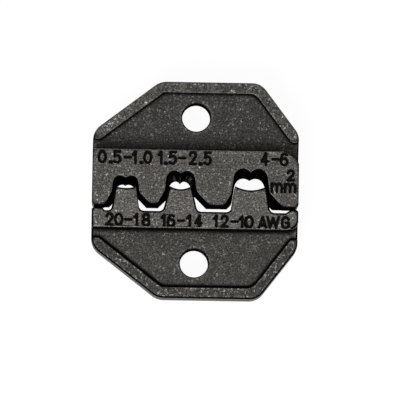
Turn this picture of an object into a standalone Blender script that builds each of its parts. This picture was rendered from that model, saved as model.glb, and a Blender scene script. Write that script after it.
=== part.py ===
"""Crimp die: an upper die with three nests, closed on a lower die with three anvils.

The pair lies on its back: +X runs along the parting line, +Y is the crimping direction towards the
upper die, and +Z comes out of the marked front faces. All lengths are in metres.
"""

import math
from collections import namedtuple

import bmesh
import bpy
from mathutils import Vector

MM = 0.001

DIE_WIDTH = 35.1 * MM

# Thicknesses, centred on one mid plane
BAND_THICKNESS = 10.0 * MM
RIM_THICKNESS = 5.0 * MM
WEB_THICKNESS = 3.6 * MM

# Each nest from front to back: a wide insulation stage, a taper, then the narrow conductor stage
INSULATION_DEPTH = 5.6 * MM
TAPER_DEPTH = 1.6 * MM

# Plan of both dies, measured outwards from the parting line
UPPER_BAND_EDGE = 9.7 * MM
LOWER_BAND_EDGE = 3.7 * MM
UPPER_SHOULDER_RISE = 3.22 * MM
LOWER_SHOULDER_RISE = 3.0 * MM
UPPER_SLOPE_RISE = 8.68 * MM
LOWER_SLOPE_RISE = 8.7 * MM
LEFT_SLOPE = math.radians(37.4)
RIGHT_SLOPE = math.radians(52.7)
LEFT_RADIUS = 3.25 * MM
RIGHT_RADIUS = 2.95 * MM
UPPER_RIM_WIDTH = 1.85 * MM
LOWER_RIM_WIDTH = 2.1 * MM
UPPER_LEFT_GAP = 1.9 * MM
UPPER_RIGHT_GAP = 1.75 * MM
LOWER_LEFT_GAP = 1.35 * MM
LOWER_RIGHT_GAP = 1.25 * MM
RIM_END_RADIUS = 0.7 * MM
LEFT_POCKET_RADIUS = 0.3 * MM
RIGHT_POCKET_RADIUS = 2.0 * MM

# Dressed corner at the right end of each band's outer edge
UPPER_CORNER_RUN = 2.4 * MM
UPPER_CORNER_DROP = 1.75 * MM
BAND_CORNER_RADIUS = 1.9 * MM

# Screw hole in each web, measured outwards from the band's edge
HOLE_DIAMETER = 4.8 * MM
HOLE_CHAMFER = 0.17 * MM
UPPER_HOLE_OFFSET = 5.9 * MM
LOWER_HOLE_OFFSET = 5.65 * MM

# Lands beside and between the three nest mouths, from left to right. They share the width that the mouths
# leave in these parts.
LAND_PARTS = [2.1, 1.2, 2.25, 2.65]
FRONT_LAND_HEIGHTS = [0.05 * MM, 0.38 * MM, 0.2 * MM, 0.12 * MM]
REAR_LAND_HEIGHT = 0.6 * MM
UPPER_TOE_RADIUS = 0.6 * MM

# The three nests from left to right. Widths and mouths count from a nest's centre line, heights from the
# parting line. A roof is two lobes that meet in a cusp on the centre line.
FRONT_HALF_WIDTHS = [2.15 * MM, 2.48 * MM, 2.92 * MM]
FRONT_CROWNS = [5.1 * MM, 6.08 * MM, 6.66 * MM]
FRONT_RISES = [1.3 * MM, 1.7 * MM, 1.95 * MM]
FRONT_LOBES = [1.0 * MM, 1.05 * MM, 1.35 * MM]
FRONT_CUSP_DROPS = [0.37 * MM, 0.48 * MM, 0.65 * MM]
REAR_CROWNS = [4.55 * MM, 5.25 * MM, 5.95 * MM]
REAR_RISES = [1.93 * MM, 1.75 * MM, 2.0 * MM]
REAR_LOBES = [0.53 * MM, 0.68 * MM, 1.1 * MM]
REAR_CUSP_DROPS = [0.2 * MM, 0.45 * MM, 0.36 * MM]

# Where each side of a mouth opens towards its land, at the front and at the rear
LEFT_MOUTHS = [3.6 * MM, 3.9 * MM, 4.55 * MM]
LEFT_KNEE_OFFSETS = [2.37 * MM, 2.6 * MM, 3.32 * MM]
LEFT_KNEE_HEIGHTS = [2.25 * MM, 2.75 * MM, 2.15 * MM]
LEFT_REAR_MOUTHS = [2.75 * MM, 3.7 * MM, 3.85 * MM]
RIGHT_MOUTHS = [4.2 * MM, 5.1 * MM, 5.5 * MM]
RIGHT_KNEE_OFFSETS = [2.3 * MM, 2.7 * MM, 3.2 * MM]
RIGHT_KNEE_HEIGHTS = [2.35 * MM, 2.6 * MM, 2.6 * MM]
RIGHT_REAR_MOUTHS = [3.65 * MM, 4.55 * MM, 3.95 * MM]
KNEE_RADIUS = 1.4 * MM

# The lower die's shoulders, valleys and anvils. The left shoulder ends beside the first anvil's valley.
CLOSED_GAP = 0.4 * MM
VALLEY_FLOOR = 0.82 * MM
LEFT_VALLEY_WIDTH = 1.1 * MM
RIGHT_SHOULDER_WIDTH = 1.3 * MM
LEFT_SHOULDER_RUN = 0.45 * MM
RIGHT_SHOULDER_RUN = 0.85 * MM
LOWER_TOE_RADIUS = 0.4 * MM
ANVIL_TOP_WIDTHS = [3.55 * MM, 3.8 * MM, 5.3 * MM]
ANVIL_HEIGHTS = [3.28 * MM, 3.52 * MM, 3.66 * MM]
ANVIL_HOLLOWS = [0.25 * MM, 0.55 * MM, 0.68 * MM]
ANVIL_LEANS = [math.radians(8.8), math.radians(13.2), math.radians(9.0)]
ANVIL_FOOT_RADIUS = 0.9 * MM
ANVIL_CLEARANCE = 0.05 * MM

# Bare blackened steel, for the plain look of the solids
UPPER_COLOUR = (0.052, 0.049, 0.045)
LOWER_COLOUR = (0.065, 0.061, 0.056)
STEEL_ROUGHNESS = 0.5
STEEL_METALLIC = 0.8

UPPER_SHOULDER = UPPER_BAND_EDGE + UPPER_SHOULDER_RISE
LOWER_SHOULDER = LOWER_BAND_EDGE + LOWER_SHOULDER_RISE
UPPER_THRUST_EDGE = UPPER_SHOULDER + UPPER_SLOPE_RISE
LOWER_THRUST_EDGE = LOWER_SHOULDER + LOWER_SLOPE_RISE
PARTING_Y = (LOWER_THRUST_EDGE - UPPER_THRUST_EDGE) / 2
MID_PLANE = BAND_THICKNESS / 2

# How far cutters stand clear of the metal, and how finely round stretches are drawn
OVERCUT = 1.0 * MM
SIDE_CLEARANCE = 0.1 * MM
WELD_DISTANCE = 0.0001 * MM
LARGEST_FILLET = 0.49  # of the shorter side beside a corner
ARC_STEPS = 6
LOBE_STEPS = 5
CUSP_STEPS = 3
HOLE_STEPS = 48
FLAT_ANGLE = math.radians(0.5)
SHARP_ANGLE = math.radians(30)

Roof = namedtuple("Roof", "half_width crown rise lobe cusp_drop")
Flare = namedtuple("Flare", "mouth knee_offset knee_height rear_mouth")
Anvil = namedtuple("Anvil", "top_width height hollow lean")
Nest = namedtuple("Nest", "front rear left right anvil")
Die = namedtuple(
    "Die",
    "name side band_edge shoulder thrust_edge rim_width left_gap right_gap hole_offset corner_run corner_drop",
)
UPPER = Die(
    name="upper_die",
    side=1,
    band_edge=UPPER_BAND_EDGE,
    shoulder=UPPER_SHOULDER,
    thrust_edge=UPPER_THRUST_EDGE,
    rim_width=UPPER_RIM_WIDTH,
    left_gap=UPPER_LEFT_GAP,
    right_gap=UPPER_RIGHT_GAP,
    hole_offset=UPPER_HOLE_OFFSET,
    corner_run=UPPER_CORNER_RUN,
    corner_drop=UPPER_CORNER_DROP,
)
LOWER = Die(
    name="lower_die",
    side=-1,
    band_edge=LOWER_BAND_EDGE,
    shoulder=LOWER_SHOULDER,
    thrust_edge=LOWER_THRUST_EDGE,
    rim_width=LOWER_RIM_WIDTH,
    left_gap=LOWER_LEFT_GAP,
    right_gap=LOWER_RIGHT_GAP,
    hole_offset=LOWER_HOLE_OFFSET,
    corner_run=0,
    corner_drop=0,
)


def fillet(before, corner, after, radius):
    """Points of the arc that rounds a corner, no larger than its shorter side allows."""
    corner = Vector(corner)
    back = Vector(before) - corner
    forth = Vector(after) - corner
    half = back.angle(forth) / 2
    tangent = min(radius / math.tan(half), LARGEST_FILLET * min(back.length, forth.length))
    first = corner + back.normalized() * tangent
    last = corner + forth.normalized() * tangent
    centre = corner + (back.normalized() + forth.normalized()).normalized() * tangent / math.cos(half)
    sweep = (first - centre).angle_signed(last - centre)
    points = []
    for step in range(ARC_STEPS + 1):
        angle = -sweep * step / ARC_STEPS
        arm = first - centre
        points.append(
            (
                centre.x + arm.x * math.cos(angle) - arm.y * math.sin(angle),
                centre.y + arm.x * math.sin(angle) + arm.y * math.cos(angle),
            )
        )
    return points


def rounded(corners):
    """A closed outline from (x, out, radius) corners; a radius of 0 leaves a corner as it is."""
    points = []
    for i, (x, out, radius) in enumerate(corners):
        if radius:
            before = corners[i - 1][:2]
            after = corners[(i + 1) % len(corners)][:2]
            points += fillet(before, (x, out), after, radius)
        else:
            points.append((x, out))
    return points


def body_corners(die):
    """Outer corners beyond the parting line, counted from the right side to the left."""
    slope_rise = die.thrust_edge - die.shoulder
    half = DIE_WIDTH / 2
    return [
        (half, die.shoulder, RIGHT_RADIUS),
        (half - slope_rise / math.tan(RIGHT_SLOPE), die.thrust_edge, RIGHT_RADIUS),
        (-half + slope_rise / math.tan(LEFT_SLOPE), die.thrust_edge, LEFT_RADIUS),
        (-half, die.shoulder, LEFT_RADIUS),
    ]


def anvil_offset(anvil, height):
    """Distance from the centre line to an anvil's flank at a height."""
    return anvil.top_width / 2 + (anvil.height - height) * math.tan(anvil.lean)


def all_nests():
    """The nests from left to right. A rear stage is as wide as the anvil beside it, plus its clearance."""
    anvils = list(map(Anvil, ANVIL_TOP_WIDTHS, ANVIL_HEIGHTS, ANVIL_HOLLOWS, ANVIL_LEANS))
    rear_widths = [
        anvil_offset(anvil, crown - rise) + ANVIL_CLEARANCE
        for anvil, crown, rise in zip(anvils, REAR_CROWNS, REAR_RISES)
    ]
    return list(
        map(
            Nest,
            map(Roof, FRONT_HALF_WIDTHS, FRONT_CROWNS, FRONT_RISES, FRONT_LOBES, FRONT_CUSP_DROPS),
            map(Roof, rear_widths, REAR_CROWNS, REAR_RISES, REAR_LOBES, REAR_CUSP_DROPS),
            map(Flare, LEFT_MOUTHS, LEFT_KNEE_OFFSETS, LEFT_KNEE_HEIGHTS, LEFT_REAR_MOUTHS),
            map(Flare, RIGHT_MOUTHS, RIGHT_KNEE_OFFSETS, RIGHT_KNEE_HEIGHTS, RIGHT_REAR_MOUTHS),
            anvils,
        )
    )


def placed_nests():
    """Each nest with the X of its centre line, from the lands and mouths to its left."""
    nests = all_nests()
    mouths = sum(nest.left.mouth + nest.right.mouth for nest in nests)
    land_part = (DIE_WIDTH - mouths) / sum(LAND_PARTS)
    placed = []
    x = -DIE_WIDTH / 2
    for parts, nest in zip(LAND_PARTS, nests):
        x += parts * land_part + nest.left.mouth
        placed.append((x, nest))
        x += nest.right.mouth
    return placed


def half_roof(roof):
    """One lobe from the side wall to the cusp: a quarter ellipse, then a flat arc."""
    points = []
    for step in range(LOBE_STEPS):
        angle = math.pi / 2 * step / LOBE_STEPS
        offset = roof.lobe + (roof.half_width - roof.lobe) * math.cos(angle)
        points.append((offset, roof.crown - roof.rise * (1 - math.sin(angle))))
    for step in range(CUSP_STEPS + 1):
        offset = roof.lobe * (1 - step / CUSP_STEPS)
        points.append((offset, roof.crown - roof.cusp_drop * (step / CUSP_STEPS) ** 2))
    return points


def half_nest(roof, mouth, land_height, knee):
    """Corners of one side of a nest from its land to its cusp, as offsets from the centre line."""
    side = [(mouth, land_height, 0), (*knee, KNEE_RADIUS)]
    return side + [(offset, height, 0) for offset, height in half_roof(roof)]


def front_half(nest, flare, land_height):
    knee = (flare.knee_offset, flare.knee_height)
    return half_nest(nest.front, flare.mouth, land_height, knee)


def rear_half(nest, flare, land_height):
    """The conductor stage: its walls run beside the anvil's flanks, and its flares lie at 45 degrees."""
    foot = anvil_offset(nest.anvil, 0) + ANVIL_CLEARANCE
    knee_height = (flare.rear_mouth + land_height - foot) / (1 - math.tan(nest.anvil.lean))
    knee = (anvil_offset(nest.anvil, knee_height) + ANVIL_CLEARANCE, knee_height)
    return half_nest(nest.rear, flare.rear_mouth, land_height, knee)


def upper_outline(half, land_heights):
    """The upper die's outline at one stage; half draws one side of a nest at that stage."""
    corners = [(-DIE_WIDTH / 2, land_heights[0], UPPER_TOE_RADIUS)]
    for i, (x, nest) in enumerate(placed_nests()):
        left = half(nest, nest.left, land_heights[i])
        right = half(nest, nest.right, land_heights[i + 1])
        corners += [(x - offset, height, radius) for offset, height, radius in left]
        corners += [(x + offset, height, radius) for offset, height, radius in reversed(right[:-1])]
    corners.append((DIE_WIDTH / 2, land_heights[-1], UPPER_TOE_RADIUS))
    return rounded(corners + body_corners(UPPER))


def anvil_top(anvil):
    """The hollow top of an anvil from left to right, as a shallow arc."""
    steps = 2 * LOBE_STEPS
    points = []
    for step in range(steps + 1):
        share = 2 * step / steps - 1
        points.append((share * anvil.top_width / 2, anvil.height - anvil.hollow * (1 - share**2)))
    return points


def lower_outline():
    """The lower die's outline. Heights above the parting line point inwards, so they count as negative."""
    half = DIE_WIDTH / 2
    first_x, first_nest = placed_nests()[0]
    first_foot = first_x - anvil_offset(first_nest.anvil, -VALLEY_FLOOR)
    left_height = CLOSED_GAP - FRONT_LAND_HEIGHTS[0]
    right_height = CLOSED_GAP - FRONT_LAND_HEIGHTS[-1]
    left_end = first_foot - LEFT_VALLEY_WIDTH - LEFT_SHOULDER_RUN
    right_end = half - RIGHT_SHOULDER_WIDTH
    corners = [
        (-half, left_height, LOWER_TOE_RADIUS),
        (left_end, left_height, 0),
        (left_end + LEFT_SHOULDER_RUN, VALLEY_FLOOR, 0),
    ]
    for x, nest in placed_nests():
        foot = anvil_offset(nest.anvil, -VALLEY_FLOOR)
        corners.append((x - foot, VALLEY_FLOOR, ANVIL_FOOT_RADIUS))
        corners += [(x + offset, -height, 0) for offset, height in anvil_top(nest.anvil)]
        corners.append((x + foot, VALLEY_FLOOR, ANVIL_FOOT_RADIUS))
    corners += [
        (right_end - RIGHT_SHOULDER_RUN, VALLEY_FLOOR, 0),
        (right_end, right_height, 0),
        (half, right_height, LOWER_TOE_RADIUS),
    ]
    return rounded(corners + body_corners(LOWER))


def band_edge_corners(die):
    """The outer edge of the raised band from left to right, run out past both sides of the die."""
    half = DIE_WIDTH / 2
    past = half + SIDE_CLEARANCE
    corner = die.band_edge - die.corner_drop
    inner_end = corner - 3 * BAND_CORNER_RADIUS
    corners = [(-half - OVERCUT, die.band_edge, 0)]
    if die.corner_run:
        corners.append((half - die.corner_run, die.band_edge, BAND_CORNER_RADIUS))
    corners.append((past, corner, BAND_CORNER_RADIUS))
    return corners + [(past, inner_end, 0), (half + OVERCUT, inner_end, 0)]


def step_outline(die):
    """Everything beyond the band, which is lowered to the rim."""
    half = DIE_WIDTH / 2
    beyond = die.thrust_edge + OVERCUT
    return rounded(band_edge_corners(die) + [(half + OVERCUT, beyond, 0), (-half - OVERCUT, beyond, 0)])


def pocket_outline(die):
    """The recess between band and rim, open to both sides past the rim's ends."""
    half = DIE_WIDTH / 2
    inner_thrust = die.thrust_edge - die.rim_width
    left_end = die.band_edge + die.left_gap
    right_end = die.band_edge + die.right_gap

    def right(out):
        return half - (out - die.shoulder) / math.tan(RIGHT_SLOPE) - die.rim_width / math.sin(RIGHT_SLOPE)

    def left(out):
        return -half + (out - die.shoulder) / math.tan(LEFT_SLOPE) + die.rim_width / math.sin(LEFT_SLOPE)

    return rounded(
        band_edge_corners(die)
        + [
            (half + OVERCUT, right_end, 0),
            (right(right_end), right_end, RIM_END_RADIUS),
            (right(inner_thrust), inner_thrust, RIGHT_POCKET_RADIUS),
            (left(inner_thrust), inner_thrust, LEFT_POCKET_RADIUS),
            (left(left_end), left_end, RIM_END_RADIUS),
            (-half - OVERCUT, left_end, 0),
        ]
    )


def new_object(name, mesh, collection, parent):
    obj = bpy.data.objects.new(name, mesh)
    collection.objects.link(obj)
    obj.parent = parent
    obj.location = (0, PARTING_Y, MID_PLANE)
    return obj


def plate(name, outline, side, low, high, collection, parent):
    """A flat outline between two heights above the mid plane, drawn as a 2D curve and made a mesh."""
    curve = bpy.data.curves.new(name, "CURVE")
    curve.dimensions = "2D"
    curve.fill_mode = "BOTH"
    curve.extrude = (high - low) / 2
    spline = curve.splines.new("POLY")
    spline.points.add(len(outline) - 1)
    for point, (x, out) in zip(spline.points, outline):
        point.co = (x, side * out, 0, 1)
    spline.use_cyclic_u = True
    guide = bpy.data.objects.new(name + "_outline", curve)
    collection.objects.link(guide)
    graph = bpy.context.evaluated_depsgraph_get()
    mesh = bpy.data.meshes.new_from_object(guide.evaluated_get(graph))
    bpy.data.objects.remove(guide)
    bm = bmesh.new()
    bm.from_mesh(mesh)
    bmesh.ops.remove_doubles(bm, verts=bm.verts, dist=WELD_DISTANCE)
    bmesh.ops.dissolve_limit(bm, angle_limit=FLAT_ANGLE, verts=bm.verts, edges=bm.edges)
    bmesh.ops.translate(bm, verts=bm.verts, vec=(0, 0, (high + low) / 2))
    bmesh.ops.recalc_face_normals(bm, faces=bm.faces)
    bm.to_mesh(mesh)
    bm.free()
    mesh.name = name
    return new_object(name, mesh, collection, parent)


def loft(name, sections, collection, parent):
    """A solid through outlines of equally many points, each at its height above the mid plane."""
    bm = bmesh.new()
    rings = [[bm.verts.new((x, out, z)) for x, out in outline] for outline, z in sections]
    for above, below in zip(rings, rings[1:]):
        for i in range(len(above)):
            j = (i + 1) % len(above)
            bm.faces.new((above[i], above[j], below[j], below[i]))
    bm.faces.new(rings[0])
    bm.faces.new(rings[-1])
    bm.normal_update()
    bmesh.ops.triangulate(bm, faces=bm.faces)
    bmesh.ops.recalc_face_normals(bm, faces=bm.faces)
    mesh = bpy.data.meshes.new(name)
    bm.to_mesh(mesh)
    bm.free()
    return new_object(name, mesh, collection, parent)


def turned(name, profile, collection, parent):
    """A solid of revolution about Z from (radius, z) points, top to bottom."""
    mesh = bpy.data.meshes.new(name)
    edges = [(i, i + 1) for i in range(len(profile) - 1)]
    mesh.from_pydata([(radius, 0, z) for radius, z in profile], edges, [])
    obj = new_object(name, mesh, collection, parent)
    screw = obj.modifiers.new("turn", "SCREW")
    screw.steps = HOLE_STEPS
    screw.render_steps = HOLE_STEPS
    screw.use_merge_vertices = True
    screw.merge_threshold = WELD_DISTANCE
    return obj


def cut(obj, cutter):
    cutter.hide_render = True
    cutter.display_type = "WIRE"
    boolean = obj.modifiers.new("cut_" + cutter.name, "BOOLEAN")
    boolean.operation = "DIFFERENCE"
    boolean.use_self = True
    boolean.object = cutter


def cut_body(obj, die, cutters, parent):
    """Lowers the rim and the web on both faces, and bores the screw hole."""
    beyond = MID_PLANE + OVERCUT
    levels = (("step", step_outline(die), RIM_THICKNESS / 2), ("pocket", pocket_outline(die), WEB_THICKNESS / 2))
    for kind, outline, level in levels:
        front = plate(f"{die.name}_front_{kind}", outline, die.side, level, beyond, cutters, parent)
        back = plate(f"{die.name}_back_{kind}", outline, die.side, -beyond, -level, cutters, parent)
        cut(obj, front)
        cut(obj, back)
    radius = HOLE_DIAMETER / 2
    face = WEB_THICKNESS / 2
    reach = OVERCUT / 2
    profile = [
        (0, face + reach),
        (radius + HOLE_CHAMFER + reach, face + reach),
        (radius, face - HOLE_CHAMFER),
        (radius, HOLE_CHAMFER - face),
        (radius + HOLE_CHAMFER + reach, -face - reach),
        (0, -face - reach),
    ]
    hole = turned(die.name + "_hole", profile, cutters, parent)
    hole.location.y = PARTING_Y + die.side * (die.band_edge + die.hole_offset)
    cut(obj, hole)


def steel(name, colour):
    material = bpy.data.materials.new(name)
    material.use_nodes = True
    shader = material.node_tree.nodes["Principled BSDF"]
    shader.inputs["Base Color"].default_value = (*colour, 1)
    shader.inputs["Roughness"].default_value = STEEL_ROUGHNESS
    shader.inputs["Metallic"].default_value = STEEL_METALLIC
    return material


def finish(obj, material):
    obj.data.materials.append(material)
    obj.data.shade_smooth()
    obj.data.set_sharp_from_angle(angle=SHARP_ANGLE)


def upper_die(parts, cutters, parent):
    """The fixed die, whose three nests narrow from the insulation stage to the conductor stage."""
    front = upper_outline(front_half, FRONT_LAND_HEIGHTS)
    rear = upper_outline(rear_half, [REAR_LAND_HEIGHT] * len(LAND_PARTS))
    taper_start = MID_PLANE - INSULATION_DEPTH
    sections = [
        (front, MID_PLANE),
        (front, taper_start),
        (rear, taper_start - TAPER_DEPTH),
        (rear, -MID_PLANE),
    ]
    obj = loft(UPPER.name, sections, parts, parent)
    cut_body(obj, UPPER, cutters, parent)
    finish(obj, steel("blackened_steel_upper", UPPER_COLOUR))


def lower_die(parts, cutters, parent):
    """The moving die, whose anvils stand in the nests. It slides along Y, away from the upper die."""
    obj = plate(LOWER.name, lower_outline(), LOWER.side, -MID_PLANE, MID_PLANE, parts, parent)
    cut_body(obj, LOWER, cutters, parent)
    finish(obj, steel("blackened_steel_lower", LOWER_COLOUR))


def main():
    for obj in list(bpy.data.objects):
        bpy.data.objects.remove(obj)
    parts = bpy.data.collections.new("crimp_die")
    cutters = bpy.data.collections.new("cutters")
    bpy.context.scene.collection.children.link(parts)
    bpy.context.scene.collection.children.link(cutters)
    parent = bpy.data.objects.new("crimp_die_origin", None)
    parts.objects.link(parent)
    upper_die(parts, cutters, parent)
    lower_die(parts, cutters, parent)


main()
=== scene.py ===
"""Closed pair of crimp dies in blackened steel, with stamped wire sizes, lying on a pale studio floor."""

import math
from collections import defaultdict
from functools import reduce

import bmesh
import bpy
from bpy.props import FloatProperty, FloatVectorProperty, IntProperty, PointerProperty
from mathutils import Matrix, Vector


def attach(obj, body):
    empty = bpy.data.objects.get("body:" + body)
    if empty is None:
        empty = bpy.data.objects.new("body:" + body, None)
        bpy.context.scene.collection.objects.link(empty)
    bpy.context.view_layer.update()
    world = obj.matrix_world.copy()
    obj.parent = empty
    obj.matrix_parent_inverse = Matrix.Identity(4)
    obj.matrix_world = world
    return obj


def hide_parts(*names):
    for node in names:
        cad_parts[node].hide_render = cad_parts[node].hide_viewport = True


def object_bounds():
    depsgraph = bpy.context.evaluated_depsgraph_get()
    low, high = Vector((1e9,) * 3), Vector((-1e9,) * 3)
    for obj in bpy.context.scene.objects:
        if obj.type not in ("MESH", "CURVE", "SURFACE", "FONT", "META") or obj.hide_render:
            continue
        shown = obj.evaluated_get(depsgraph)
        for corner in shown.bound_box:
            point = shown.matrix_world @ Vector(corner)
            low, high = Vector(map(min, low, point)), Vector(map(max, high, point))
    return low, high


bl_info = {
    "name": "Crimp Die Pair",
    "version": (1, 0, 0),
    "blender": (4, 5, 0),
    "location": "3D View > Sidebar > Crimp Dies",
    "description": "Builds a closed pair of blackened steel crimp dies with stamped wire sizes",
    "category": "Add Mesh",
}

MM = 0.001
PER_MM = (1 / MM, 1 / MM, 1 / MM)
WELD_DISTANCE = 0.0001 * MM
FLAT_ANGLE = math.radians(0.5)  # faces that bend less than this are one face
SHARP_ANGLE = math.radians(30)  # edges that bend more than this are rounded
SMOOTH_ANGLE = math.radians(40)  # up to which the shading runs on across an edge

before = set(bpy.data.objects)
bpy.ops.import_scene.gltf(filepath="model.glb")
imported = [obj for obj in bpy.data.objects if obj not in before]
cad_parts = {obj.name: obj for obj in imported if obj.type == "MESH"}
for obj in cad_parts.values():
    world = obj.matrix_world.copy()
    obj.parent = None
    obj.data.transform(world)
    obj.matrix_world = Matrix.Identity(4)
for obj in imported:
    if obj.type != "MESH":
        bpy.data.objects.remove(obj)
CAD_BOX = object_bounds()
FRONT = CAD_BOX[1].z
MID_PLANE = FRONT / 2
SIDE = CAD_BOX[1].x - 0.1 * MM  # just inside the side walls
LONGEST_STEP = 0.3 * MM  # of what is closed beside a corner of a side wall
UPPER_HOLE = 12.5 * MM
LOWER_HOLE = -12.45 * MM
HOLE_CLEARANCE = 3.0 * MM  # around a hole's axis, where its chamfer is left as it is

# World Y between which nests, lands, valleys and anvils lie, and of each band's outer edge
PARTING_SPAN = (-4.3 * MM, 3.8 * MM)
UPPER_BAND_EDGE = 6.6 * MM
LOWER_BAND_EDGE = -6.8 * MM

# In millimetres: the flat faces and the ends of the nests' tapers, from the mid plane up, half the dies' width,
# and each nest's middle with how far its right wall stands from it
BAND_FACE, RIM_FACE, WEB_FACE = 5.0, 2.5, 1.8
TAPER_TOP, TAPER_FOOT = -0.6, -2.2
HALF_WIDTH = CAD_BOX[1].x / MM
NEST_MIDDLES = ((-11.84, 2.0), (-2.53, 2.3), (9.38, 2.85))

# Where each die takes its patterns from the same noise, in millimetres, and the lean of the scratches
UPPER_SEED, LOWER_SEED = 3.7, 41.3
SCRATCH_ANGLE = math.radians(-52)

# The stage: the floor, whose paper is mostly a glow where the camera or shiny steel sees it, lamp and camera
FLOOR_REACH = 3.0
FLOOR_GAP = 0.05 * MM
PAPER = (0.8, 0.8, 0.8)
SEEN_PAPER = (0.07, 0.07, 0.07)
SEEN_GLOW = 0.96
LAMP_PLACE = Vector((-0.2, -0.4, 0.55))
LAMP_SIZE = 0.5
TOWARDS_CAMERA = Vector((-0.0173, -0.1047, 1)).normalized()
PARTING_LINE = Vector((0, -3.1 * MM, FRONT))
AIM_RIGHT = 0.82 * MM
AIM_UP = 1.12 * MM
SENSOR_WIDTH = 36

# The stamped characters: each one's width in millimetres and its strokes, with points in shares of its width
# and height from its middle. A bent stroke is a smooth curve, and a straight one goes from point to point.
STRAIGHT, BENT, RING, BALL = "straight", "bent", "ring", "ball"
BALL_SHARE = 1.06  # of a rod's radius, so that a ball covers the rod's end
POINT_SHARE = 1.35  # of a stroke's radius, for the decimal point
CHARACTERS = {
    "0": (0.98, [(RING, [(0, 0.5), (-0.5, 0.24), (-0.5, -0.24), (0, -0.5), (0.5, -0.24), (0.5, 0.24)])]),
    "1": (0.5, [(STRAIGHT, [(-0.5, 0.24), (0.35, 0.5), (0.35, -0.5)])]),
    "2": (
        1.0,
        [
            (
                BENT,
                [
                    *[(-0.48, 0.24), (-0.3, 0.44), (0.05, 0.5), (0.42, 0.38)],
                    *[(0.44, 0.12), (0.1, -0.14), (-0.5, -0.5)],
                ],
            ),
            (STRAIGHT, [(-0.5, -0.5), (0.5, -0.5)]),
        ],
    ),
    "4": (1.02, [(STRAIGHT, [(0.18, -0.5), (0.18, 0.5), (-0.5, -0.2), (0.5, -0.2)])]),
    "5": (
        1.0,
        [
            (STRAIGHT, [(0.44, 0.5), (-0.38, 0.5), (-0.45, 0.05)]),
            (
                BENT,
                [
                    *[(-0.45, 0.05), (-0.08, 0.15), (0.36, 0.06), (0.5, -0.18)],
                    *[(0.32, -0.42), (-0.08, -0.5), (-0.5, -0.38)],
                ],
            ),
        ],
    ),
    "6": (
        1.02,
        [
            (BENT, [(0.42, 0.4), (0.08, 0.5), (-0.36, 0.32), (-0.5, -0.1)]),
            (RING, [(0, 0.08), (-0.47, -0.08), (-0.42, -0.4), (0, -0.5), (0.44, -0.38), (0.46, -0.06)]),
        ],
    ),
    "8": (
        1.02,
        [
            (RING, [(0, 0.5), (-0.38, 0.4), (-0.36, 0.13), (0, 0.04), (0.36, 0.13), (0.38, 0.4)]),
            (RING, [(0, 0.04), (-0.46, -0.1), (-0.46, -0.38), (0, -0.5), (0.46, -0.38), (0.46, -0.1)]),
        ],
    ),
    "-": (0.98, [(STRAIGHT, [(-0.5, 0), (0.5, 0)])]),
    ".": (0.1, [(STRAIGHT, [(-0.5, -0.47), (0.5, -0.47)])]),
    "A": (
        1.12,
        [
            (STRAIGHT, [(-0.5, -0.5), (0, 0.5), (0.5, -0.5)]),
            (STRAIGHT, [(-0.34, -0.18), (0.34, -0.18)]),
        ],
    ),
    "W": (1.9, [(STRAIGHT, [(-0.5, 0.5), (-0.26, -0.5), (0, 0.4), (0.26, -0.5), (0.5, 0.5)])]),
    "G": (
        1.12,
        [
            (
                BENT,
                [
                    *[(0.46, 0.3), (0.1, 0.5), (-0.38, 0.36), (-0.5, 0)],
                    *[(-0.38, -0.36), (0.1, -0.5), (0.48, -0.3)],
                ],
            ),
            (STRAIGHT, [(0.48, -0.3), (0.48, -0.02), (0.08, -0.02)]),
        ],
    ),
    "m": (
        1.66,
        [
            (STRAIGHT, [(-0.5, 0.5), (-0.5, -0.5)]),
            (BENT, [(-0.5, 0.18), (-0.28, 0.5), (-0.04, 0.34), (0, -0.5)]),
            (BENT, [(0, 0.18), (0.22, 0.5), (0.46, 0.34), (0.5, -0.5)]),
        ],
    ),
}

# Wire sizes as they are stamped: the line, its middle across the parting line, its height, and the middles
# of its characters along the die, all in millimetres
UPPER_MARKS = [
    ("0.5-1.0", 5.15, 1.86, [-15.91, -14.46, -13.36, -11.57, -10.42, -9.24, -8.17]),
    ("1.5-2.5", 5.16, 1.98, [-6.05, -5.06, -3.92, -2.34, -0.52, 0.8, 1.99]),
    ("4-6", 5.24, 1.94, [11.72, 13.55, 15.0]),
    ("2", 2.52, 1.66, [16.15]),
    ("mm", 0.37, 1.36, [13.8, 16.05]),
]
LOWER_MARKS = [
    ("20-18", -5.46, 1.86, [-14.5, -12.93, -11.27, -10.0, -8.3]),
    ("16-14", -5.51, 1.8, [-5.4, -4.04, -2.34, -1.02, 0.6]),
    ("12-10", -5.52, 1.8, [3.48, 5.02, 6.72, 7.86, 9.22]),
    ("AWG", -5.56, 1.8, [11.48, 13.26, 15.38]),
]


class DieShape(bpy.types.PropertyGroup):
    upper_radius: FloatProperty(
        name="Upper Radius",
        description="Rounding of the upper die's edges",
        default=0.2 * MM,
        unit="LENGTH",
        precision=5,
    )
    lower_radius: FloatProperty(
        name="Lower Radius",
        description="Rounding of the lower die's edges",
        default=0.34 * MM,
        unit="LENGTH",
        precision=5,
    )
    edge_segments: IntProperty(
        name="Edge Segments",
        description="Faces across each rounded edge",
        default=3,
        min=1,
    )
    stroke_width: FloatProperty(
        name="Stroke Width",
        description="Width of the stamped grooves",
        default=0.5 * MM,
        unit="LENGTH",
        precision=5,
    )
    stroke_depth: FloatProperty(
        name="Stroke Depth",
        description="Depth of the stamped grooves",
        default=0.26 * MM,
        unit="LENGTH",
        precision=5,
    )


def tone(name, description, default):
    return FloatVectorProperty(name=name, description=description, subtype="COLOR", default=default)


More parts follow.
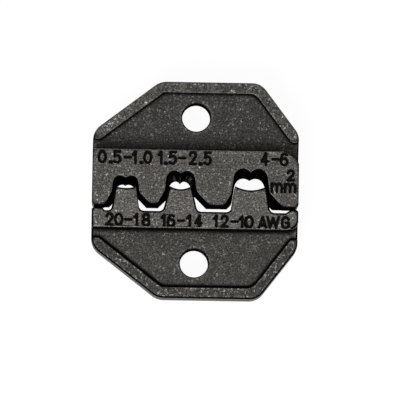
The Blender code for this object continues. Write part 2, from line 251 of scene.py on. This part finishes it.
class SteelFinish(bpy.types.PropertyGroup):
    upper_web: tone("Upper Web", "Black oxide on the cast web of the upper die", (0.042, 0.040, 0.037))
    upper_rim: tone("Upper Rim", "Black oxide on the rim of the upper die", (0.06, 0.057, 0.052))
    upper_band: tone("Upper Band", "Rubbed oxide on the ground band of the upper die", (0.085, 0.078, 0.071))
    lower_web: tone("Lower Web", "Black oxide on the cast web of the lower die", (0.055, 0.050, 0.045))
    lower_rim: tone("Lower Rim", "Black oxide on the rim of the lower die", (0.042, 0.039, 0.035))
    lower_band: tone("Lower Band", "Rubbed oxide on the ground band of the lower die", (0.109, 0.101, 0.091))
    wall: tone("Wall", "Oxide on the outer walls", (0.018, 0.017, 0.016))
    # Painted shade: the near-black laid in corners, on sheltered walls and walls facing the screw hole, on
    # unlit rounded edges and along the faces' edges
    painted_shade: tone("Recess", "Untouched oxide in corners, nests and along outlines", (0.004, 0.0038, 0.0035))
    groove: tone("Groove", "Oxide in the stamped grooves", (0.003, 0.003, 0.0028))
    groove_dust: tone("Groove Dust", "Dust in the stamped grooves", (0.014, 0.013, 0.012))
    # Painted light: the bright tone laid on the lit parts of the nests' tapers
    taper: tone("Taper", "Polished tapers inside the nests", (0.36, 0.345, 0.32))
    # Bare steel of the edge wear, also laid as painted highlight beside the bands' edges and on the rounded
    # edges facing the screw hole and at the nests
    worn_and_highlit_edge: tone("Worn Edge", "Steel where the oxide has rubbed off", (0.24, 0.23, 0.21))
    speck: tone("Speck", "Bare steel in the specks of the faces", (0.62, 0.6, 0.56))


class StudioSetup(bpy.types.PropertyGroup):
    view_distance: FloatProperty(
        name="View Distance",
        description="How far the camera stands from the band's front face",
        default=1.0,
        unit="LENGTH",
    )
    view_width: FloatProperty(
        name="View Width",
        description="Width of the picture at the band's front face",
        default=67.86 * MM,
        unit="LENGTH",
        precision=4,
    )
    roll: FloatProperty(
        name="Roll",
        description="How far the picture leans",
        default=math.radians(1),
        unit="ROTATION",
    )
    lamp_power: FloatProperty(
        name="Lamp Power",
        description="Power of the soft lamp overhead",
        default=4.3,
        unit="POWER",
    )
    world_strength: FloatProperty(
        name="World Strength",
        description="Brightness of the surroundings",
        default=0.28,
    )


def merged_copy(node):
    """A bmesh of a CAD node with its loose triangles joined into whole faces."""
    bm = bmesh.new()
    bm.from_mesh(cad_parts[node].data)
    bmesh.ops.remove_doubles(bm, verts=bm.verts, dist=WELD_DISTANCE)
    bmesh.ops.dissolve_limit(bm, angle_limit=FLAT_ANGLE, verts=bm.verts, edges=bm.edges)
    return bm


def as_object(bm, name):
    """A new object at the origin with the bmesh as its mesh."""
    mesh = bpy.data.meshes.new(name)
    bm.to_mesh(mesh)
    bm.free()
    obj = bpy.data.objects.new(name, mesh)
    bpy.context.scene.collection.objects.link(obj)
    return obj


def stroke_mesh(kind, points, radius):
    """A round rod along one stroke, made as a curve and turned into a mesh."""
    curve = bpy.data.curves.new("stroke", "CURVE")
    curve.dimensions = "3D"
    curve.bevel_depth = radius
    curve.bevel_resolution = 2
    curve.resolution_u = 5
    curve.use_fill_caps = True
    spline = curve.splines.new("BEZIER")
    spline.bezier_points.add(len(points) - 1)
    spline.use_cyclic_u = kind == RING
    for knot, (x, y) in zip(spline.bezier_points, points):
        knot.co = (x, y, 0)
        handle = "VECTOR" if kind == STRAIGHT else "AUTO"
        knot.handle_left_type = handle
        knot.handle_right_type = handle
    guide = bpy.data.objects.new("stroke", curve)
    bpy.context.scene.collection.objects.link(guide)
    graph = bpy.context.evaluated_depsgraph_get()
    mesh = bpy.data.meshes.new_from_object(guide.evaluated_get(graph))
    bpy.data.objects.remove(guide)
    bpy.data.curves.remove(curve)
    return mesh


def add_rod(bm, kind, points, radius):
    rod = stroke_mesh(kind, points, radius)
    part = bmesh.new()
    part.from_mesh(rod)
    bmesh.ops.remove_doubles(part, verts=part.verts, dist=WELD_DISTANCE)
    part.to_mesh(rod)
    part.free()
    bm.from_mesh(rod)
    bpy.data.meshes.remove(rod)


def add_ball(bm, place, radius):
    matrix = Matrix.Translation((*place, 0))
    bmesh.ops.create_icosphere(bm, subdivisions=2, radius=radius, matrix=matrix)


def shapes_of(character, x, middle, height):
    """The shapes of one character, by kind and points: its rods, with a ball at each end and corner."""
    width, strokes = CHARACTERS[character]
    for kind, shares in strokes:
        points = [((x + dx * width) * MM, (middle + dy * height) * MM) for dx, dy in shares]
        if kind == STRAIGHT:
            rods, balls = zip(points, points[1:]), points
        else:
            rods, balls = [points], [] if kind == RING else [points[0], points[-1]]
        for rod in rods:
            yield kind, rod
        for ball in balls:
            yield BALL, [ball]


def stamp_layers(marks, shape, groove):
    """One die's marks as rods and balls, half sunk in the front face.

    What touches within a character goes into different layers, so that each layer's shells are apart.
    """
    layers = defaultdict(bmesh.new)
    radius = shape.stroke_width / 2
    for text, middle, height, places in marks:
        for character, x in zip(text, places):
            thickness = radius * (POINT_SHARE if character == "." else 1.0)
            for depth, (kind, points) in enumerate(shapes_of(character, x, middle, height)):
                if kind == BALL:
                    add_ball(layers[depth], points[0], thickness * BALL_SHARE)
                else:
                    add_rod(layers[depth], kind, points, thickness)
    for bm in layers.values():
        bmesh.ops.scale(bm, verts=bm.verts, vec=(1, 1, shape.stroke_depth / radius))
        bmesh.ops.translate(bm, verts=bm.verts, vec=(0, 0, FRONT))
        bmesh.ops.recalc_face_normals(bm, faces=bm.faces)
        stamps = as_object(bm, "stamps")
        stamps.data.materials.append(groove)
        yield stamps


def cut(obj, cutter):
    """Takes the cutter's space out of the object and removes the cutter."""
    boolean = obj.modifiers.new("cut", "BOOLEAN")
    boolean.operation = "DIFFERENCE"
    boolean.solver = "MANIFOLD"
    boolean.material_mode = "TRANSFER"
    boolean.object = cutter
    graph = bpy.context.evaluated_depsgraph_get()
    mesh = bpy.data.meshes.new_from_object(obj.evaluated_get(graph))
    obj.modifiers.clear()
    old = obj.data
    obj.data = mesh
    mesh.name = obj.name
    bpy.data.meshes.remove(old)
    bpy.data.objects.remove(cutter)


def close_short_steps(bm):
    """Closes the step where a rim's end meets the side wall just beside one of the wall's own corners."""
    rim_faces = (RIM_FACE + 0.01) * MM
    steps = []
    for edge in bm.edges:
        x, y, z = (edge.verts[0].co + edge.verts[1].co) / 2
        if edge.calc_length() < LONGEST_STEP and abs(x) > SIDE and abs(z - MID_PLANE) < rim_faces:
            steps.append(edge)
    bmesh.ops.collapse(bm, edges=steps)


def stays_sharp(edge, hole):
    """Whether an edge is hollow, nearly flat, part of the screw hole's chamfer or upright in the nests."""
    if not edge.is_convex or edge.calc_face_angle() < SHARP_ANGLE:
        return True
    first, last = (vert.co for vert in edge.verts)
    middle = (first + last) / 2
    if (middle.to_2d() - Vector(hole)).length <= HOLE_CLEARANCE:
        return True
    upright = abs((last - first).normalized().z) > 0.9
    lowest, highest = PARTING_SPAN
    return upright and lowest < middle.y < highest and abs(middle.x) < SIDE


def round_edges(bm, radius, segments, hole):
    """Rounds the edges that someone could touch."""
    edges = [edge for edge in bm.edges if not stays_sharp(edge, hole)]
    bmesh.ops.bevel(
        bm,
        geom=edges,
        offset=radius,
        offset_type="OFFSET",
        segments=segments,
        profile=0.5,
        affect="EDGES",
        clamp_overlap=False,
        material=-1,
    )


def smooth(obj):
    """Smooth shading that keeps the flat faces flat."""
    obj.data.shade_smooth()
    obj.data.set_sharp_from_angle(angle=SMOOTH_ANGLE)
    weighted = obj.modifiers.new("flat_faces_stay_flat", "WEIGHTED_NORMAL")
    weighted.keep_sharp = True
    weighted.weight = 100


def shader_node(tree, kind, **settings):
    node = tree.nodes.new(kind)
    for name, value in settings.items():
        setattr(node, name, value)
    return node


def join(tree, socket, value):
    """Links a socket to an input, or sets the input's value."""
    if isinstance(value, bpy.types.NodeSocket):
        tree.links.new(value, socket)
    else:
        socket.default_value = value


def feed(tree, node, **inputs):
    """Links a socket or sets a value for each input, by the input's name in lower case."""
    for socket in node.inputs:
        name = socket.name.lower().replace(" ", "_")
        if name in inputs and socket.enabled:
            join(tree, socket, inputs.pop(name))
    if inputs:
        raise ValueError(f"{node.name} has no inputs {sorted(inputs)}")
    return node


def maths(tree, operation, *values):
    node = shader_node(tree, "ShaderNodeMath", operation=operation)
    for socket, value in zip(node.inputs, values):
        join(tree, socket, value)
    return node.outputs[0]


def product(tree, *values):
    return reduce(lambda first, second: maths(tree, "MULTIPLY", first, second), values)


def largest(tree, *values):
    return reduce(lambda first, second: maths(tree, "MAXIMUM", first, second), values)


def rest_of(tree, share):
    return maths(tree, "SUBTRACT", 1.0, share)


def distance(tree, value, place):
    """How far a value is from a place on the same axis."""
    return maths(tree, "ABSOLUTE", maths(tree, "SUBTRACT", value, place))


def ramp(tree, value, low, high, start=0.0, end=1.0):
    """Eases from start to end while the value goes from low to high."""
    node = shader_node(tree, "ShaderNodeMapRange", interpolation_type="SMOOTHSTEP")
    feed(tree, node, value=value, from_min=low, from_max=high, to_min=start, to_max=end)
    return node.outputs["Result"]


def split(tree, vector):
    node = shader_node(tree, "ShaderNodeSeparateXYZ")
    feed(tree, node, vector=vector)
    return node.outputs


def mapped(tree, places, **changes):
    """Places moved, turned or scaled."""
    return feed(tree, shader_node(tree, "ShaderNodeMapping"), vector=places, **changes).outputs[0]


def occlusion(tree, reach, inside=False):
    """How open a place is to its own piece within reach; inside counts through the metal, low near edges."""
    node = shader_node(tree, "ShaderNodeAmbientOcclusion", samples=8, only_local=True, inside=inside)
    feed(tree, node, distance=reach)
    return node.outputs["AO"]


def noise(tree, places, scale, detail, roughness):
    node = shader_node(tree, "ShaderNodeTexNoise")
    feed(tree, node, vector=places, scale=scale, detail=detail, roughness=roughness)
    return node.outputs["Fac"]


def blend(tree, share, first, second):
    """One colour laid over another by a share."""
    node = shader_node(tree, "ShaderNodeMix", data_type="RGBA")
    feed(tree, node, factor=share)
    for socket, value in ((node.inputs[6], first), (node.inputs[7], second)):
        join(tree, socket, value if isinstance(value, bpy.types.NodeSocket) else (*value, 1))
    return node.outputs[2]


def fine_bump(tree, strength, height):
    node = shader_node(tree, "ShaderNodeBump")
    return feed(tree, node, strength=strength, distance=0.05 * MM, height=height).outputs[0]


def flat_faces(tree, height, steepness):
    """How far a place is on the band's face, on the web's and on any flat face.

    What is on none of them is a wall, a rounded edge, a corner or a taper.
    """
    on_band = ramp(tree, height, BAND_FACE - 0.012, BAND_FACE - 0.001)
    up_to_rim = ramp(tree, height, RIM_FACE - 0.02, RIM_FACE - 0.002)
    down_to_rim = ramp(tree, height, RIM_FACE + 0.1, RIM_FACE + 0.02)
    on_web = ramp(tree, height, WEB_FACE + 0.06, WEB_FACE + 0.02)
    on_any = largest(tree, on_band, product(tree, up_to_rim, down_to_rim), on_web)
    return on_band, on_web, product(tree, ramp(tree, steepness, 0.96, 0.995), on_any)


def painted_lit_tapers(tree, across, along, level, tilt):
    """The tapers in the nests, with painted light under each cusp and along each right wall, where the light
    falls on them.
    """
    on_taper = product(
        tree,
        ramp(tree, tilt, 0.12, 0.24),
        ramp(tree, level, TAPER_FOOT - 0.2, TAPER_FOOT),
        ramp(tree, level, TAPER_TOP + 0.2, TAPER_TOP),
        ramp(tree, along, 0.2, 1.2, 0.1, 1.0),
    )
    taper_light = 0.12
    for middle, wall in NEST_MIDDLES:
        offset = maths(tree, "SUBTRACT", across, middle)
        cusp = ramp(tree, maths(tree, "ABSOLUTE", offset), 1.5, 0.7)
        flank = ramp(tree, distance(tree, offset, wall), 1.1, 0.45)
        taper_light = largest(tree, taper_light, cusp, flank)
    return product(tree, on_taper, taper_light)


def away_from_hole(tree, coordinates, hole):
    """Above 0 where a surface faces away from the screw hole, below 0 where it faces the hole."""
    from_hole = mapped(tree, coordinates["Object"], location=(0, -hole / MM, 0), scale=(1 / MM, 1 / MM, 0))
    node = shader_node(tree, "ShaderNodeVectorMath", operation="DOT_PRODUCT")
    tree.links.new(from_hole, node.inputs[0])
    tree.links.new(coordinates["Normal"], node.inputs[1])
    return node.outputs["Value"]


def blackened_steel(name, tones, hole, band_edge, nest_highlight, seed):
    """Cast and ground steel in black oxide, paler on its raised faces and worn along some edges, with painted
    highlights, painted light and painted shade.

    The rounded edges that face the screw hole get a painted highlight, and the nests' edges get it to the share
    given for the nests; the nests' tapers get painted light, and corners, sheltered walls and the faces' edges
    get painted shade.
    """
    finish = bpy.context.scene.steel_finish
    web, rim, band = tones
    material = bpy.data.materials.new(name)
    material.use_nodes = True
    tree = material.node_tree

    # Places in millimetres, with heights counted from the mid plane so that both faces are alike
    coordinates = shader_node(tree, "ShaderNodeTexCoord").outputs
    mm = mapped(tree, coordinates["Object"], location=(seed, 0, -MID_PLANE / MM), scale=PER_MM)
    shifted, along, level = split(tree, mm)
    across = maths(tree, "SUBTRACT", shifted, seed)
    height = maths(tree, "ABSOLUTE", level)
    tilt = split(tree, coordinates["Normal"])[2]
    steepness = maths(tree, "ABSOLUTE", tilt)
    upright = ramp(tree, steepness, 0.12, 0.02)
    outward = away_from_hole(tree, coordinates, hole)
    on_band, on_web, on_face = flat_faces(tree, height, steepness)
    # Painted light on the nests' tapers, under each cusp and along each right wall
    on_taper = painted_lit_tapers(tree, across, along, level, tilt)

    # Painted highlight on rounded edges: those that face the screw hole, and those of the nests
    on_top = ramp(tree, height, 4.0, 4.2)
    inward = product(tree, on_top, ramp(tree, outward, -0.2, -1.2))
    from_middle = maths(tree, "ABSOLUTE", across)
    between_sides = ramp(tree, from_middle, HALF_WIDTH - 0.25, HALF_WIDTH - 0.45)
    at_nests = product(tree, between_sides, ramp(tree, along, -2.6, -2.2, 0.0, nest_highlight))
    near_nests = product(tree, between_sides, ramp(tree, maths(tree, "ABSOLUTE", along), 4.6, 4.3))
    raised = ramp(tree, height, 2.1, 2.2)
    bent = product(tree, rest_of(tree, largest(tree, on_face, upright)), ramp(tree, steepness, 0.5, 0.65))
    highlit_rounding = product(tree, raised, bent, largest(tree, inward, at_nests))

    # Painted shade on sheltered walls, in corners and in dark lines along the faces' edges, then edge wear
    # broken by noise and a painted highlight beside each band's edge
    sheltered = ramp(tree, occlusion(tree, 4.0 * MM), 0.95, 0.7)
    corner = product(tree, ramp(tree, occlusion(tree, 1.0 * MM), 0.9, 0.66), rest_of(tree, on_taper))
    metal = occlusion(tree, 1.0 * MM, inside=True)
    edge = ramp(tree, metal, 0.92, 0.65)
    outline_shade = product(tree, ramp(tree, metal, 0.68, 0.58), on_face)
    broken = ramp(tree, noise(tree, mm, 1.1, 4.0, 0.7), 0.35, 0.62)
    # Painted highlight: an even line just inside each band's edge, joined below with the edge wear broken by
    # noise
    from_edge = distance(tree, along, band_edge / MM)
    beside = product(tree, ramp(tree, from_edge, 0.8, 0.4, 0.0, 0.75), on_top)
    wear_and_highlight = product(tree, largest(tree, product(tree, edge, broken, 0.5), beside), on_face)
    # The painted highlight on the rounded edges joins the edge wear
    wear_and_highlight = largest(tree, wear_and_highlight, product(tree, highlit_rounding, 0.85))

    # Grain of the casting, scratches of the grinding, and specks where the oxide is gone, most near edges
    fine = noise(tree, mm, 3.4, 4.0, 0.85)
    slanted = mapped(tree, mm, rotation=(0, 0, SCRATCH_ANGLE), scale=(0.5, 7.0, 1.0))
    grain = ramp(tree, fine, 0.4, 0.6, 0.2, 1.85)
    cloud = ramp(tree, noise(tree, mm, 0.35, 3.0, 0.6), 0.3, 0.7, 0.85, 1.15)
    ground = ramp(tree, noise(tree, slanted, 1.0, 3.0, 0.7), 0.3, 0.7, 0.8, 1.2)
    patches = ramp(tree, noise(tree, mm, 0.8, 2.0, 0.6), 0.38, 0.62, 0.15, 1.0)
    spots = ramp(tree, maths(tree, "MULTIPLY_ADD", edge, 0.05, noise(tree, mm, 2.6, 3.0, 0.85)), 0.57, 0.61)
    worn = product(tree, spots, patches, ramp(tree, raised, 0.0, 1.0, 0.4, 1.0))

    face = blend(tree, on_web, blend(tree, on_band, rim, band), web)
    face = blend(tree, worn, face, finish.speck)
    # Painted shade on walls that face the screw hole, on sheltered walls and on walls near the nests; only open
    # outer walls keep the wall tone
    outer_wall = product(tree, upright, ramp(tree, outward, 0.0, 0.5))
    open_wall = product(tree, outer_wall, rest_of(tree, largest(tree, sheltered, near_nests)))
    colour = blend(tree, open_wall, finish.painted_shade, finish.wall)
    # Painted light on the nests' tapers
    colour = blend(tree, on_taper, colour, finish.taper)
    colour = blend(tree, on_face, colour, face)
    # Edge wear, and painted highlights on band edges and rounded edges
    colour = blend(tree, wear_and_highlight, colour, finish.worn_and_highlit_edge)
    # Painted shade in corners and in dark lines along the faces' edges
    colour = blend(tree, largest(tree, corner, outline_shade), colour, finish.painted_shade)
    tinted = shader_node(tree, "ShaderNodeVectorMath", operation="SCALE")
    feed(tree, tinted, vector=colour, scale=product(tree, grain, cloud, ground))

    # Where shade is painted, in corners, on sheltered or inward walls and on unlit rounded edges, the surface
    # is dull, and bare steel shines most
    shiny = product(tree, largest(tree, on_face, open_wall, on_taper, wear_and_highlight), rest_of(tree, corner))
    bare = ramp(tree, largest(tree, worn, wear_and_highlight), 0.0, 1.0, 0.35, 0.85)
    feed(
        tree,
        tree.nodes["Principled BSDF"],
        base_color=tinted.outputs[0],
        specular_ior_level=product(tree, shiny, 0.5),
        metallic=product(tree, bare, shiny),
        roughness=largest(tree, ramp(tree, fine, 0.3, 0.7, 0.62, 0.46), rest_of(tree, shiny)),
        normal=fine_bump(tree, 0.35, fine),
    )
    return material


def groove_oxide(name, seed):
    """Untouched black oxide in the stamped grooves, with a little dust in it."""
    finish = bpy.context.scene.steel_finish
    material = bpy.data.materials.new(name)
    material.use_nodes = True
    tree = material.node_tree
    coordinates = shader_node(tree, "ShaderNodeTexCoord").outputs
    mm = mapped(tree, coordinates["Object"], location=(seed, 0, 0), scale=PER_MM)
    fine = noise(tree, mm, 4.0, 3.0, 0.7)
    feed(
        tree,
        tree.nodes["Principled BSDF"],
        base_color=blend(tree, ramp(tree, fine, 0.4, 0.7), finish.groove, finish.groove_dust),
        roughness=ramp(tree, fine, 0.3, 0.7, 0.7, 0.95),
        specular_ior_level=0.03,
        normal=fine_bump(tree, 0.4, fine),
    )
    return material


def dress(node, body, marks, hole, radius, material, groove):
    """Makes one die from its CAD node: rounded edges, stamped marks and its finish."""
    shape = bpy.context.scene.die_shape
    bm = merged_copy(node)
    close_short_steps(bm)
    round_edges(bm, radius, shape.edge_segments, (0, hole))
    piece = as_object(bm, node + "_steel")
    piece.data.materials.append(material)
    for stamps in stamp_layers(marks, shape, groove):
        cut(piece, stamps)
    smooth(piece)
    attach(piece, body)
    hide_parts(node)


class CRIMP_OT_upper_die(bpy.types.Operator):
    """Make the upper die with its three nests and its marks in square millimetres"""

    bl_idname = "crimp_dies.upper_die"
    bl_label = "Upper Die"

    def execute(self, context):
        finish = context.scene.steel_finish
        material = blackened_steel(
            "upper_blackened_steel",
            tones=(finish.upper_web, finish.upper_rim, finish.upper_band),
            hole=UPPER_HOLE,
            band_edge=UPPER_BAND_EDGE,
            nest_highlight=0.6,
            seed=UPPER_SEED,
        )
        dress(
            "upper_die",
            body="fixed_die",
            marks=UPPER_MARKS,
            hole=UPPER_HOLE,
            radius=context.scene.die_shape.upper_radius,
            material=material,
            groove=groove_oxide("upper_groove_oxide", UPPER_SEED),
        )
        return {"FINISHED"}


class CRIMP_OT_lower_die(bpy.types.Operator):
    """Make the lower die with its three anvils and its marks in American wire gauge"""

    bl_idname = "crimp_dies.lower_die"
    bl_label = "Lower Die"

    def execute(self, context):
        finish = context.scene.steel_finish
        material = blackened_steel(
            "lower_blackened_steel",
            tones=(finish.lower_web, finish.lower_rim, finish.lower_band),
            hole=LOWER_HOLE,
            band_edge=LOWER_BAND_EDGE,
            nest_highlight=0.0,
            seed=LOWER_SEED,
        )
        dress(
            "lower_die",
            body="moving_die",
            marks=LOWER_MARKS,
            hole=LOWER_HOLE,
            radius=context.scene.die_shape.lower_radius,
            material=material,
            groove=groove_oxide("lower_groove_oxide", LOWER_SEED),
        )
        return {"FINISHED"}


def pale_floor():
    """A wide floor that shows white to the camera and still takes the dies' shadow."""
    bm = bmesh.new()
    bmesh.ops.create_grid(bm, x_segments=1, y_segments=1, size=FLOOR_REACH)
    bmesh.ops.translate(bm, verts=bm.verts, vec=(0, 0, CAD_BOX[0].z - FLOOR_GAP))
    floor = as_object(bm, "studio_floor")
    material = bpy.data.materials.new("pale_floor")
    material.use_nodes = True
    tree = material.node_tree
    tree.nodes.remove(tree.nodes["Principled BSDF"])
    path = shader_node(tree, "ShaderNodeLightPath").outputs
    seen = largest(tree, path["Is Camera Ray"], path["Is Glossy Ray"], path["Is Transmission Ray"])
    paper = shader_node(tree, "ShaderNodeBsdfDiffuse")
    feed(tree, paper, color=blend(tree, seen, PAPER, SEEN_PAPER))
    glow = shader_node(tree, "ShaderNodeEmission")
    feed(tree, glow, color=(1, 1, 1, 1), strength=product(tree, seen, SEEN_GLOW))
    both = shader_node(tree, "ShaderNodeAddShader")
    tree.links.new(paper.outputs[0], both.inputs[0])
    tree.links.new(glow.outputs[0], both.inputs[1])
    tree.links.new(both.outputs[0], tree.nodes["Material Output"].inputs["Surface"])
    floor.data.materials.append(material)


def soft_light(scene):
    """A soft lamp overhead, towards the lower die and a little left, in even pale surroundings."""
    studio = scene.studio_setup
    lamp = bpy.data.lights.new("soft_lamp", "AREA")
    lamp.shape = "DISK"
    lamp.size = LAMP_SIZE
    lamp.energy = studio.lamp_power
    obj = bpy.data.objects.new("soft_lamp", lamp)
    scene.collection.objects.link(obj)
    obj.location = LAMP_PLACE
    obj.rotation_euler = LAMP_PLACE.to_track_quat("Z", "Y").to_euler()
    obj.visible_camera = False
    world = bpy.data.worlds.new("pale_surroundings")
    world.use_nodes = True
    tree = world.node_tree
    seen = shader_node(tree, "ShaderNodeLightPath").outputs["Is Camera Ray"]
    around = studio.world_strength
    strength = maths(tree, "MULTIPLY_ADD", seen, 1 - around, around)
    feed(tree, tree.nodes["Background"], color=(1, 1, 1, 1), strength=strength)
    scene.world = world


def long_lens_camera(scene):
    """The photograph's view: nearly straight down on the front faces, leaning towards the lower die."""
    studio = scene.studio_setup
    across = Vector((1, 0, 0))
    across = (across - across.dot(TOWARDS_CAMERA) * TOWARDS_CAMERA).normalized()
    upwards = TOWARDS_CAMERA.cross(across)
    right = across * math.cos(studio.roll) + upwards * math.sin(studio.roll)
    up = upwards * math.cos(studio.roll) - across * math.sin(studio.roll)
    aim = PARTING_LINE + right * AIM_RIGHT + up * AIM_UP
    data = bpy.data.cameras.new("long_lens_camera")
    data.sensor_width = SENSOR_WIDTH
    data.lens = SENSOR_WIDTH * studio.view_distance / studio.view_width
    camera = bpy.data.objects.new("long_lens_camera", data)
    scene.collection.objects.link(camera)
    matrix = Matrix((right, up, TOWARDS_CAMERA)).transposed().to_4x4()
    matrix.translation = aim + TOWARDS_CAMERA * studio.view_distance
    camera.matrix_world = matrix
    scene.camera = camera


class CRIMP_OT_stage(bpy.types.Operator):
    """Make the pale floor, the soft light and the camera"""

    bl_idname = "crimp_dies.stage"
    bl_label = "Studio Stage"

    def execute(self, context):
        pale_floor()
        soft_light(context.scene)
        long_lens_camera(context.scene)
        context.scene.view_settings.view_transform = "Standard"
        return {"FINISHED"}


class CRIMP_PT_panel(bpy.types.Panel):
    """Makers and settings of the crimp dies"""

    bl_label = "Crimp Dies"
    bl_idname = "CRIMP_PT_panel"
    bl_space_type = "VIEW_3D"
    bl_region_type = "UI"
    bl_category = "Crimp Dies"

    def draw(self, context):
        for operator in OPERATORS:
            self.layout.operator(operator.bl_idname)
        for name in SETTINGS:
            box = self.layout.box()
            group = getattr(context.scene, name)
            for setting in group.__annotations__:
                box.prop(group, setting)


OPERATORS = (CRIMP_OT_upper_die, CRIMP_OT_lower_die, CRIMP_OT_stage)
SETTINGS = {"die_shape": DieShape, "steel_finish": SteelFinish, "studio_setup": StudioSetup}


def register():
    for group in SETTINGS.values():
        bpy.utils.register_class(group)
    for name, group in SETTINGS.items():
        setattr(bpy.types.Scene, name, PointerProperty(type=group))
    for operator in OPERATORS:
        bpy.utils.register_class(operator)
    bpy.utils.register_class(CRIMP_PT_panel)


def unregister():
    bpy.utils.unregister_class(CRIMP_PT_panel)
    for operator in reversed(OPERATORS):
        bpy.utils.unregister_class(operator)
    for name, group in reversed(SETTINGS.items()):
        delattr(bpy.types.Scene, name)
        bpy.utils.unregister_class(group)


def main():
    register()
    bpy.ops.crimp_dies.upper_die()
    bpy.ops.crimp_dies.lower_die()
    bpy.ops.crimp_dies.stage()


if __name__ == "__main__":
    main()
